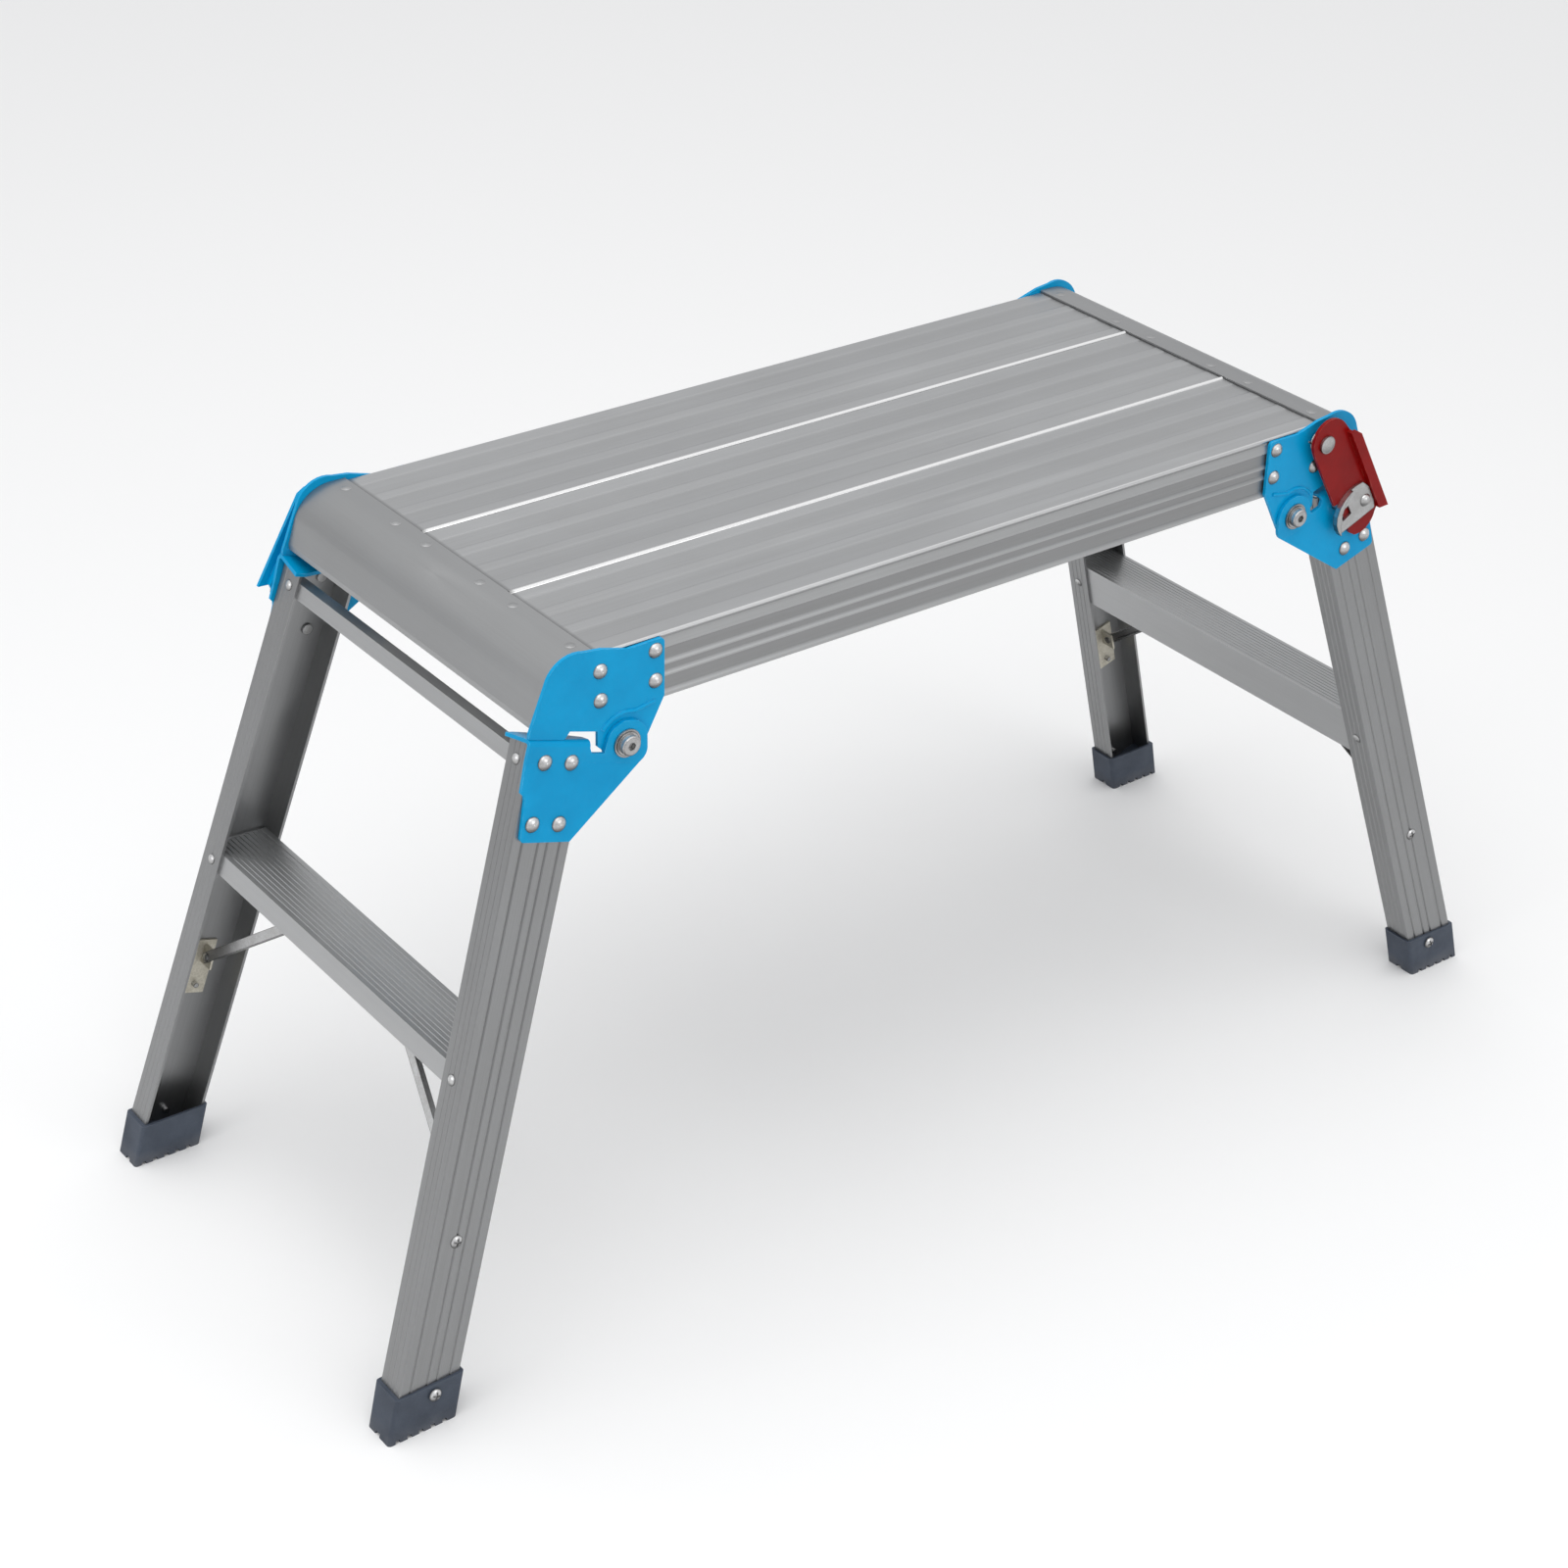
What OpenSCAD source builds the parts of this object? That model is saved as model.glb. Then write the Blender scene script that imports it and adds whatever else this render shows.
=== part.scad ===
// Folding aluminium work platform: a three-plank deck on two folding leg frames.
// Frame: +X along the deck, +Y across it, +Z up. The origin is on the floor under
// the middle of the deck. Turned half a turn about Z, the object repeats itself, apart
// from the top of the rear latch's lever, which is lower, and the levers' colours.

/* [Deck] */
// Height of the deck's top face above the floor
deck_h = 500; // [480:5:520]
// Width of the deck over its two skirts
deck_w = 300; // [290:2:310]
// Half length of the planks, out to the bend of the end caps
plank_half_l = 317; // [310:1:320]
// Height of the side skirts
skirt_h = 45.3; // [42:0.1:48]
// Distance of each plank seam from the middle
seam_y = 50.5; // [48:0.5:53]
// Wall of the plank extrusions
plank_wall = 2.2; // [1.8:0.1:3]

/* [End caps] */
// Sheet thickness of the end caps
cap_t = 1.6; // [1.2:0.1:2]
// Outer bend radius of the end caps
cap_r = 30; // [26:1:32]
// Height of the bottom edge of the caps above the floor
cap_low_z = 461; // [459:0.5:466]

/* [Hinges] */
// Distance of each hinge pin from the middle of the deck
pivot_x = 287; // [285:1:289]
// Height of the hinge pins above the floor
pivot_z = 435; // [433:1:437]
// Radius of the hinge bolt
bolt_r = 4; // [3.5:0.1:4.5]
// Radial running clearance of the leg brackets on the hinge bolts
bolt_gap = 0.05; // [0.02:0.01:0.1]
// Sheet thickness of the hinge brackets
plate_t = 2.5; // [2:0.1:2.8]

/* [Leg frames] */
// Lean of the legs outward along the deck, in degrees
leg_lean = 17.63; // [16.5:0.05:18.5]
// Splay of the legs sideways, in degrees
leg_splay = 4.75; // [4:0.05:5.5]
// Depth of the leg channel along the deck
leg_d = 44; // [42:0.5:46]
// Width of the leg channel's flanges
leg_w = 22; // [20:0.5:24]
// Wall of the leg channel
leg_t = 2; // [1.6:0.1:2.4]
// Height of the step's tread above the floor
step_z = 245; // [235:1:255]

/* [Feet] */
// Height of the boots
boot_h = 33; // [30:1:36]
// Length of the boots along the deck
boot_l = 50; // [49:0.5:52]
// Width of the boots
boot_w = 26.5; // [26:0.5:28]

/* [Latches] */
// Height of the latch lever's pin above the floor
latch_z = 488.6; // [487:0.2:490]
// Distance of the latch lever's pin from the middle of the deck
latch_x = 304.1; // [303:0.1:305]
// Lean of the latch levers from the vertical, in degrees
latch_lean = 30; // [28:0.5:32]

/* [Hidden] */
$fn = 48;

// Shared colours
alu = [0.68, 0.69, 0.70];
blue = [0.0, 0.58, 0.80];
red = [0.62, 0.04, 0.02];
zinc = [0.75, 0.76, 0.78];
rubber = [0.22, 0.25, 0.30];

// Fits: flush parts on one body stay this far apart
touch = 0.05;

// Across the deck, outward from the middle line
skirt_y = deck_w / 2;
deck_plate_y = skirt_y + touch;
leg_plate_y = deck_plate_y + plate_t + 0.2;
leg_plate_out = leg_plate_y + plate_t;
lever_y = 159;
lever_t = 2.5;
catch_t = 2;

// Along the leg, in the leg's own axes with the hinge pin at the origin:
// u runs outward across the leg, w runs up along it
u_out = 69;
u_in = u_out - leg_d;
w_shelf = 0.6;
w_leg_top = w_shelf - plate_t - 0.3;
web_y = 151.6;
rivet_u = 48.5;
rivet_half_gap = 10;
rivet_lift = 0.42;
rivet_w_upper = -13.3;
rivet_w_lower = -53.1;

// A point of the leg's own axes from a height above the floor
function leg_w_at(u, z) = (z - pivot_z - u * sin(leg_lean)) / cos(leg_lean);
function arc(cx, cy, r, a0, a1, n = 12) =
  [for (i = [0 : n]) [cx + r * cos(a0 + (a1 - a0) * i / n), cy + r * sin(a0 + (a1 - a0) * i / n)]];

// ---------- placing ----------

// The right end as modelled, or the left end by half a turn
module at_end(left) {
  rotate([0, 0, left ? 180 : 0]) children();
}

// The rear side as modelled, or its mirror image at the front
module at_side(front) {
  mirror([0, front ? 1 : 0, 0]) children();
}

// From the leg's own axes to the right end of the object
module in_leg_axes() {
  translate([pivot_x, 0, pivot_z]) rotate([0, -leg_lean, 0]) children();
}

// From the splayed web's own axes: y is zero on the web's outer face
module on_web() {
  translate([0, web_y, 0]) rotate([leg_splay, 0, 0]) children();
}

// Extrudes an outline drawn in the XZ plane from y0 to y1
module wall_y(y0, y1) {
  translate([0, y1, 0]) rotate([90, 0, 0]) linear_extrude(y1 - y0) children();
}

// Turns a shape built along +Z to point along +Y
module towards_y() {
  rotate([-90, 0, 0]) children();
}

// ---------- fasteners, each standing on the face z = 0 with its head above ----------

module dome(r, h) {
  sphere_r = (r * r + h * h) / (2 * h);
  intersection() {
    translate([0, 0, h - sphere_r]) sphere(sphere_r, $fn = 64);
    cylinder(r = r, h = h);
  }
}

// Rivet: domed head, shank down through grip, and a formed tail
module rivet(head_r, head_h, shank_r, grip, tail_r, tail_h = 1.6) {
  dome(head_r, head_h);
  translate([0, 0, -grip - touch]) cylinder(r = shank_r, h = grip + 2 * touch);
  translate([0, 0, -grip - tail_h]) cylinder(r = tail_r, h = tail_h);
}

// Pan-head screw with a cross recess, or a hex socket
module screw(head_r, head_h, shank_r, length, hex = false) {
  difference() {
    dome(head_r, head_h);
    if (hex) translate([0, 0, head_h * 0.35]) cylinder(r = head_r * 0.42, h = head_h, $fn = 6);
    if (!hex) {
      for (a = [0, 90]) rotate([0, 0, a])
        translate([-head_r * 0.55, -0.45, head_h * 0.5]) cube([head_r * 1.1, 0.9, head_h]);
    }
  }
  translate([0, 0, -length]) cylinder(r = shank_r, h = length + touch);
}

// ---------- deck ----------

web_depth = 22;
land_w = 7;
flute_depth = 0.3;
flute_slope = 2.5;

// Shallow flutes between the raised lands of one plank, centred on y
module flutes(y) {
  pitch = 27;
  half = (pitch - land_w) / 2;
  for (i = [-1 : 1])
    translate([y + i * pitch, deck_h]) polygon([[-half, 0], [-half + flute_slope, -flute_depth],
      [half - flute_slope, -flute_depth], [half, 0], [half, 1], [-half, 1]]);
}

// Downward ribs of a plank at the given places, each with a foot
module ribs(places) {
  for (y = places) {
    translate([y - 1, deck_h - web_depth]) square([2, web_depth - 1]);
    translate([y - 4, deck_h - web_depth]) square([8, 1.8]);
  }
}

module plank_body() {
  rotate([90, 0, 90]) translate([0, 0, -plank_half_l]) linear_extrude(2 * plank_half_l) children();
}

module deck_plank_centre() {
  half = seam_y - 0.1;
  color(alu) difference() {
    plank_body() difference() {
      union() {
        translate([-half, deck_h - plank_wall]) square([2 * half, plank_wall]);
        translate([-half, deck_h - web_depth]) square([2, web_depth - 1]);
        translate([half - 2, deck_h - web_depth]) square([2, web_depth - 1]);
        ribs([-17, 17]);
      }
      flutes(0);
      for (s = [-1, 1]) translate([s * half, deck_h]) rotate(45) square(1, center = true);
    }
    cap_seat();
  }
}

// Skirt outline: a rounded top edge, then three ridges that lean outward going down
function skirt_face() = [
  [skirt_y - 1.2, 0], [skirt_y - 0.3, -0.4], [skirt_y, -1.3], [skirt_y - 0.2, -1.9],
  [skirt_y - 1.1, -2.3], [skirt_y - 1.1, -3.2], [skirt_y - 0.5, -4],
  [skirt_y, -9.5], [skirt_y, -10.8], [skirt_y - 1.1, -11.6],
  [skirt_y - 1.1, -19.2], [skirt_y, -21.6], [skirt_y, -22.6], [skirt_y - 1.1, -23.3],
  [skirt_y - 1.1, -27.4], [skirt_y, -29.7], [skirt_y, -30.7], [skirt_y - 1.1, -31.4],
  [skirt_y - 1.1, -40.2], [skirt_y, -42.6], [skirt_y, -skirt_h + 0.8], [skirt_y - 0.8, -skirt_h]];

module outer_plank() {
  inner = seam_y + 0.1;
  plank_body() difference() {
    union() {
      translate([0, deck_h]) polygon(reversed(concat(skirt_face(),
        [[skirt_y - 14, -skirt_h], [skirt_y - 14, 2 - skirt_h], [skirt_y - 3.2, 2 - skirt_h],
         [skirt_y - 3.2, -plank_wall], [inner, -plank_wall], [inner, 0]])));
      translate([inner, deck_h - web_depth]) square([2, web_depth - 1]);
      ribs([inner + 33, inner + 66]);
      translate([inner + 1.8, deck_h - 0.6]) circle(1.8, $fn = 24);
    }
    flutes((inner + skirt_y) / 2);
  }
}

module deck_plank_front() {
  at_side(true) deck_plank_rear();
}

// The skirt's two ends carry the holes for the bracket rivets and latch pins
module deck_plank_rear() {
  color(alu) difference() {
    outer_plank();
    for (s = [-1, 1]) for (p = deck_rivet_places())
      translate([s * p[0], skirt_y - 6, p[1]]) towards_y() cylinder(r = deck_rivet_r + touch, h = 12);
    cap_seat();
  }
}

// ---------- end caps ----------

cap_seam_x = 306.5;
cap_bend_x = 317.6;
cap_top = deck_h + cap_t;
cap_bend_z = cap_top - cap_r;
cap_rivet_x = 314;
cap_rivet_ys = [-134.8, -70.6, -32.4, 32.4, 70.6, 134.8];
cap_rivet_r = 2;
cap_lean = tan(leg_lean);
cap_hem = 4;

// The cap's outline at a given depth below its outer face
function cap_line(d) = concat(
  [[cap_seam_x, cap_top - d]],
  arc(cap_bend_x, cap_bend_z, cap_r - d, 90, leg_lean, 16),
  [for (rise = [cap_hem, 0])
    [cap_bend_x + (cap_r - d) / cos(leg_lean) + (cap_bend_z - cap_low_z - cap_hem) * cap_lean,
     cap_low_z + rise]]);
function reversed(v) = [for (i = [len(v) - 1 : -1 : 0]) v[i]];

module end_cap() {
  half = skirt_y - 0.2;
  outer_low = cap_line(0)[len(cap_line(0)) - 1];
  color(alu) difference() {
    union() {
      wall_y(-half, half) polygon(concat(cap_line(0), reversed(cap_line(cap_t))));
      wall_y(-half, half) translate([outer_low[0] - 9, cap_low_z]) square([8.8, cap_t]);
    }
    cap_rivet_holes();
  }
}

// Rivet holes, the small step that lets the caps lie flat over the plank ends,
// and the narrow groove along each cap's edge
module cap_seat() {
  cap_rivet_holes();
  for (s = [-1, 1]) translate([s * (cap_seam_x - 0.6) - 0.5, -200, deck_h - 0.9]) cube([1, 400, 5]);
  for (s = [-1, 1]) translate([s * (cap_seam_x - 0.2 + 10) - 10, -200, deck_h - 0.1]) cube([20, 400, 5]);
}

module cap_rivet_holes() {
  for (s = [-1, 1]) for (y = cap_rivet_ys)
    translate([s * cap_rivet_x, y, deck_h - 6]) cylinder(r = cap_rivet_r + touch, h = 12);
}

module end_cap_rivets() {
  color(zinc) for (s = [-1, 1]) for (y = cap_rivet_ys)
    translate([s * cap_rivet_x, y, cap_top + touch])
      rivet(3.7, 0.9, cap_rivet_r, cap_t + plank_wall + 2 * touch, 3);
}

// ---------- deck brackets ----------

deck_rivet_r = 2.4;
deck_rivet_head = 5.2;
inboard_rivet_x = 263.7;
function deck_rivet_places() = [[inboard_rivet_x, 490.8], [inboard_rivet_x, 470],
  [latch_x, latch_z], [latch_x, 468.4]];

// A point at u, w of the leg's own axes, seen in the XZ plane
function leg_to_xz(u, w) = [pivot_x + u * cos(leg_lean) - w * sin(leg_lean),
  pivot_z + u * sin(leg_lean) + w * cos(leg_lean)];

lobe_r = 15.6;
function deck_bracket_outline() = concat(
  arc(260, 495.2, 3, 180, 90, 4),
  [[284, 497.8], [303, 503.4]],
  arc(322, 483.4, 22.6, 108, 16, 10),
  [leg_to_xz(73.2, w_shelf + 3), leg_to_xz(72.4, w_shelf + 0.1), leg_to_xz(46, w_shelf + 0.1),
   leg_to_xz(43.5, w_shelf + 5.7), leg_to_xz(22.5, w_shelf + 5.7), [pivot_x + lobe_r + 4, pivot_z + 2]],
  arc(pivot_x, pivot_z, lobe_r, -8, -152, 14),
  [[257, 458]]);

bead_r = 1.3;
module deck_bracket_bead() {
  ridge_r = 20.4;
  translate([pivot_x, deck_plate_y + plate_t, pivot_z]) {
    intersection() {
      towards_y() rotate_extrude() translate([ridge_r, 0]) circle(bead_r, $fn = 16);
      wall_y(-bead_r - 0.1, bead_r + 0.1)
        polygon([[0, 0], [40 * cos(38), 40 * sin(38)], [20, 40], [0, 40], [40 * cos(112), 40 * sin(112)]]);
    }
    translate([ridge_r * cos(112), 0, ridge_r * sin(112)]) rotate([0, -80, 0])
      cylinder(r = bead_r, h = 15, $fn = 24);
  }
}

module deck_bracket() {
  color(blue) difference() {
    union() {
      wall_y(deck_plate_y, deck_plate_y + plate_t) polygon(deck_bracket_outline());
      intersection() {
        deck_bracket_bead();
        wall_y(deck_plate_y + 1, deck_plate_y + plate_t + 3) polygon(deck_bracket_outline());
      }
    }
    for (p = deck_rivet_places())
      translate([p[0], deck_plate_y - 1, p[1]]) towards_y()
        cylinder(r = deck_rivet_r + touch, h = plate_t + 2);
    translate([pivot_x, deck_plate_y - 1, pivot_z]) towards_y() cylinder(r = bolt_r + touch, h = plate_t + 6);
  }
}

// Rivet heads sit on the plate's outer face. The places that carry a latch pin are left out.
module deck_rivet_set(latched) {
  for (p = deck_rivet_places())
    if (!(latched && p[1] == latch_z))
      translate([p[0], deck_plate_y + plate_t + touch, p[1]]) towards_y()
        rivet(deck_rivet_head, 3, deck_rivet_r, plate_t + 3.2 + 2 * touch, 4);
}

module deck_bracket_rivets() {
  color(zinc) for (left = [false, true]) at_end(left) {
    at_side(true) deck_rivet_set(true);
    at_side(false) deck_rivet_set(false);
  }
}

// ---------- hinge bolts ----------

bolt_washer_t = 1.8;
module at_hinges() {
  for (left = [false, true]) for (front = [false, true])
    at_end(left) at_side(front) translate([pivot_x, 0, pivot_z]) towards_y() children();
}

module hinge_bolts() {
  color(zinc) at_hinges() {
    translate([0, 0, leg_plate_out + bolt_washer_t + 0.15]) difference() {
      union() {
        cylinder(r = 6.8, h = 2.6);
        translate([0, 0, 2.5]) intersection() {
          cylinder(r = 6.8, h = 1.6);
          translate([0, 0, -6]) sphere(9.6);
        }
      }
      translate([0, 0, 1]) cylinder(r = 2.6, h = 6, $fn = 6);
    }
    translate([0, 0, deck_plate_y - 11])
      cylinder(r = bolt_r, h = leg_plate_out + bolt_washer_t + 11.3 - deck_plate_y);
  }
}

module hinge_bolt_washers() {
  color(zinc) at_hinges() {
    translate([0, 0, leg_plate_out + 0.1]) difference() {
      union() {
        cylinder(r = 9.6, h = bolt_washer_t * 0.6);
        cylinder(r = 8.2, h = bolt_washer_t);
      }
      translate([0, 0, -1]) cylinder(r = bolt_r + touch, h = 4);
    }
    translate([0, 0, deck_plate_y - 1.6]) difference() {
      cylinder(r = 8.2, h = 1.55);
      translate([0, 0, -1]) cylinder(r = bolt_r + touch, h = 4);
    }
  }
}

module hinge_bolt_nuts() {
  color(zinc) at_hinges() translate([0, 0, deck_plate_y - 9.6]) difference() {
    union() {
      cylinder(r = 7.5, h = 5.6, $fn = 6);
      translate([0, 0, 5.5]) cylinder(r = 6.4, h = 2.4);
    }
    translate([0, 0, -1]) cylinder(r = bolt_r + touch, h = 12);
  }
}

// ---------- legs ----------

module groove(x, y, size) {
  translate([x, y]) rotate(45) square(size, center = true);
}

// Channel section: the web's outer face on y = 0, the flanges towards the middle
module leg_section() {
  difference() {
    translate([u_in + 1, -leg_w]) square([leg_d - 2, leg_w]);
    translate([u_in + leg_t, -leg_w - 1]) square([leg_d - 2 * leg_t, leg_w + 1 - leg_t]);
  }
  difference() {
    for (u = [u_in, u_out - leg_t]) translate([u, -leg_w]) square([leg_t, leg_w - 1]);
    for (y = [-6, -11, -16]) for (u = [u_in, u_out]) groove(u, y, 0.8);
  }
}

module leg_profile() {
  difference() {
    union() {
      leg_section();
      for (u = [u_in + 1, u_out - 1]) translate([u, -1]) circle(1, $fn = 16);
    }
    for (d = [8, 20, 27, 36.5]) groove(u_out - d, 0, 1.5);
    for (y = [-6, -11, -16]) for (u = [u_in, u_out]) groove(u, y, 0.8);
  }
}

leg_low_w = leg_w_at(u_in, 9);
module leg() {
  color(alu) in_leg_axes() difference() {
    on_web() translate([0, 0, leg_low_w]) linear_extrude(w_leg_top - leg_low_w) leg_profile();
    translate([0, leg_plate_out - fold_r, w_shelf - fold_r]) rotate([shelf_tilt, 0, 0])
      translate([u_in - 1, -60, fold_r - plate_t - 0.3]) cube([leg_d + 2, 80, 30]);
    bracket_rivet_holes();
    step_rivet_axes() cylinder(r = step_rivet_r + touch, h = 12, center = true);
    bar_rivet_axis() cylinder(r = step_rivet_r + touch, h = 8, center = true);
    on_web() translate([clip_u, -6, clip_w]) towards_y() cylinder(r = 2.1, h = 12);
    boot_screw_axis() cylinder(r = 2.1, h = 20, center = true);
  }
}

// ---------- leg brackets ----------

ear_r = 15.5;
plate_bend_w = (web_y - leg_plate_y) / tan(leg_splay);
fold_r = 4;
shelf_tilt = 12;
function leg_bracket_outline() = concat(
  arc(0, 0, ear_r, 96, 180 - leg_lean, 8),
  arc(-8, -5.3, 9.5, 180 - leg_lean, 219, 8),
  [[27.5, -64.5]],
  arc(62.2, -61.5, 3, -90, 0, 4),
  [[67.4, -38], [68.4, -35.2], [71.4, -33], [72.8, -fold_r - 2], [72.8, w_shelf - fold_r],
   [27, w_shelf - fold_r], [24.6, -7.2], [15, -7.2]],
  arc(0, 0, ear_r, -14 + 26, 70, 6));

module leg_bracket() {
  color(blue) in_leg_axes() difference() {
    union() {
      intersection() {
        wall_y(leg_plate_y - 20, leg_plate_y + 20) polygon(leg_bracket_outline());
        union() {
          translate([-40, leg_plate_y, plate_bend_w]) cube([160, plate_t, 60]);
          on_web() translate([-40, touch, -90]) cube([160, plate_t, 90 + plate_bend_w]);
        }
      }
      shelf();
    }
    towards_y() cylinder(r = bolt_r + bolt_gap, h = 200);
    bracket_rivet_holes();
  }
}

// Top flange bent inward over the end of the leg: it dips towards the middle,
// and its inboard corner is cut back
module shelf() {
  depth = 22;
  bend_y = leg_plate_out - fold_r;
  intersection() {
    translate([27, 0, 0]) rotate([90, 0, 90]) linear_extrude(45.8) translate([bend_y, w_shelf - fold_r]) {
      rotate(shelf_tilt) translate([-depth, fold_r - plate_t]) square([depth, plate_t]);
      difference() {
        circle(fold_r, $fn = 64);
        circle(fold_r - plate_t, $fn = 64);
        rotate(shelf_tilt) translate([-2 * fold_r, -2 * fold_r]) square([2 * fold_r, 4 * fold_r]);
        translate([-2 * fold_r, -2 * fold_r]) square([2 * fold_r + fold_r - plate_t, 2 * fold_r]);
        translate([-2 * fold_r, -2 * fold_r - 1]) square([4 * fold_r, 2 * fold_r]);
      }
    }
    translate([0, 0, -40]) linear_extrude(60)
      polygon([[27, 144.5], [34, 140], [46, 135.7], [64, 129.6], [68, 129], [73, 129], [73, 160], [27, 160]]);
  }
}

bracket_rivet_r = 2.4;
function leg_rivet_places() = [for (w = [rivet_w_upper, rivet_w_lower]) for (s = [-1, 1])
  [rivet_u + s * rivet_half_gap, w]];

module bracket_rivet_axes() {
  for (p = leg_rivet_places()) on_web() translate([p[0], plate_t + touch, p[1]]) towards_y() children();
}

module bracket_rivet_holes() {
  bracket_rivet_axes() translate([0, 0, -8]) cylinder(r = bracket_rivet_r + touch, h = 16);
}

// One rivet set. The place of the striker is left out on a latched corner.
module leg_rivet_set(latched) {
  in_leg_axes() for (p = leg_rivet_places())
    if (!(latched && p[0] < rivet_u && p[1] == rivet_w_upper))
      on_web() translate([p[0], plate_t + 2 * touch + rivet_lift, p[1]]) towards_y()
        rivet(5.2, 2.6, bracket_rivet_r, plate_t + leg_t + 4 * touch + rivet_lift, 4);
}

module bracket_rivets() {
  color(zinc) {
    at_side(true) leg_rivet_set(true);
    at_side(false) leg_rivet_set(false);
  }
}

// Shouldered stud in the inboard upper rivet place, which the latch lever hooks under
striker_r = 4;
module latch_striker() {
  color(zinc) at_side(true) in_leg_axes() {
    on_web() translate([rivet_u - rivet_half_gap, plate_t + touch, rivet_w_upper]) towards_y() {
      translate([0, 0, -plate_t - leg_t - 3 * touch]) cylinder(r = bracket_rivet_r, h = plate_t + leg_t + 1);
      translate([0, 0, -plate_t - leg_t - 1.7]) cylinder(r = 4, h = 1.6);
    }
    translate([rivet_u - rivet_half_gap, leg_plate_out + 0.45, rivet_w_upper]) towards_y()
      cylinder(r = striker_r, h = lever_y + lever_t - 0.3 - leg_plate_out - 0.45);
  }
}

// ---------- top bar ----------

bar_w_rivet = -16.8;
bar_w_top = -12.3;
bar_w_low = -23.2;
bar_t = 1.8;
bar_half_l = 148.6;
step_rivet_r = 2.2;
module top_bar() {
  color(alu) in_leg_axes() difference() {
    translate([0, bar_half_l, 0]) rotate([90, 0, 0]) linear_extrude(2 * bar_half_l)
      translate([u_out - leg_t - touch, 0]) polygon([[0, bar_w_low], [0, bar_w_top], [-11, bar_w_top],
        [-11, bar_w_top - bar_t], [-bar_t, bar_w_top - bar_t], [-bar_t, bar_w_low]]);
    for (front = [false, true]) at_side(front) bar_rivet_axis()
      cylinder(r = step_rivet_r + touch, h = 8, center = true);
  }
}

module bar_rivet_axis() {
  translate([u_out, 140.4, bar_w_rivet]) rotate([0, 90, 0]) children();
}

module top_bar_rivets() {
  color(zinc) in_leg_axes() for (front = [false, true]) at_side(front)
    translate([touch, 0, 0]) bar_rivet_axis()
      rivet(3.9, 1.7, step_rivet_r, leg_t + bar_t + 2 * touch, 2.5, 1.4);
}

// ---------- step ----------

step_half_l = 165.4;
step_t = 2;
apron_out_h = 14;
apron_in_h = 38;
tread_u0 = u_in + leg_t + touch;
tread_u1 = u_out - leg_t - touch;

// The step's section in the leg's own axes: a level tread with an apron along each edge
module step_section() {
  top = function(u, drop) [u, leg_w_at(u, step_z - drop)];
  polygon([top(tread_u0, 0), top(tread_u1, 0), top(tread_u1, apron_out_h),
    top(tread_u1 - step_t, apron_out_h), top(tread_u1 - step_t, step_t),
    top(tread_u0 + step_t, step_t), top(tread_u0 + step_t, apron_in_h), top(tread_u0, apron_in_h)]);
}

module step_grooves() {
  count = 11;
  for (i = [0 : count - 1]) {
    u = tread_u0 + 3.6 + i * (tread_u1 - tread_u0 - 7.2) / (count - 1);
    translate([u, leg_w_at(u, step_z)]) rotate(45 - leg_lean) square(0.7, center = true);
  }
}

module step_tread() {
  color(alu) in_leg_axes() difference() {
    wall_y(-step_half_l, step_half_l) difference() {
      step_section();
      step_grooves();
    }
    for (front = [false, true]) at_side(front) step_rivet_axes()
      cylinder(r = step_rivet_r + touch, h = 12, center = true);
  }
}

// The outboard and inboard rivets that hold the step in one leg, heads facing out of the leg
module step_rivet_axes() {
  translate([u_out, 158.5, leg_w_at(u_out, 238.4)]) rotate([0, 90, 0]) children();
  translate([u_in, 159.5, leg_w_at(u_in, 225)]) rotate([0, -90, 0]) children();
}

module step_rivets() {
  color(zinc) in_leg_axes() for (front = [false, true]) at_side(front) step_rivet_axes()
    translate([0, 0, touch]) rivet(3.9, 1.7, step_rivet_r, leg_t + step_t + 2 * touch, 3.4);
}

// ---------- braces ----------

brace_u = 49;
brace_w = 7.4;
brace_t = 1.5;
clip_u = 49;
clip_w = leg_w_at(clip_u, 129.5);
brace_pin = [166, leg_w_at(brace_u, 155)];
brace_top = [56, leg_w_at(brace_u, step_z - step_t - 7)];
brace_angle = atan2(brace_top[1] - brace_pin[1], brace_top[0] - brace_pin[0]);
brace_len = norm(brace_top - brace_pin);

// Folded strip from the clip up to the tread's underside, its edges turned inboard
module brace() {
  color(zinc) in_leg_axes() difference() {
    union() {
      translate([brace_u, brace_pin[0], brace_pin[1]]) rotate([brace_angle, 0, 0]) {
        translate([0, -4.5, -brace_w / 2]) cube([brace_t, brace_len + 4.5, brace_w]);
        for (z = [-brace_w / 2, brace_w / 2 - brace_t])
          translate([-2.5, 12, z]) cube([4, brace_len - 12, brace_t]);
      }
    }
    translate([brace_u, brace_pin[0], brace_pin[1]]) rotate([0, 90, 0])
      cylinder(r = 2 + touch, h = 10, center = true);
  }
}

// Angle clip: one leg on the web behind the screw, one leg out to the brace
module brace_clip() {
  in_leg_axes() difference() {
    union() {
      on_web() translate([clip_u - 9, -leg_t - touch - 1.5, clip_w - 8]) cube([18, 1.5, 44]);
      intersection() {
        translate([brace_u - 1.5 - touch, 0, clip_w + 19]) cube([1.5, 250, 15]);
        on_web() translate([0, -22, clip_w - 30]) cube([100, 22 - leg_t - touch, 120]);
        translate([0, brace_pin[0] - 5, clip_w - 40]) cube([100, 60, 200]);
      }
    }
    translate([brace_u, brace_pin[0], brace_pin[1]]) rotate([0, 90, 0])
      cylinder(r = 2 + touch, h = 10, center = true);
    on_web() translate([clip_u, -6, clip_w]) towards_y() cylinder(r = 2.1, h = 12);
  }
}

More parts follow.
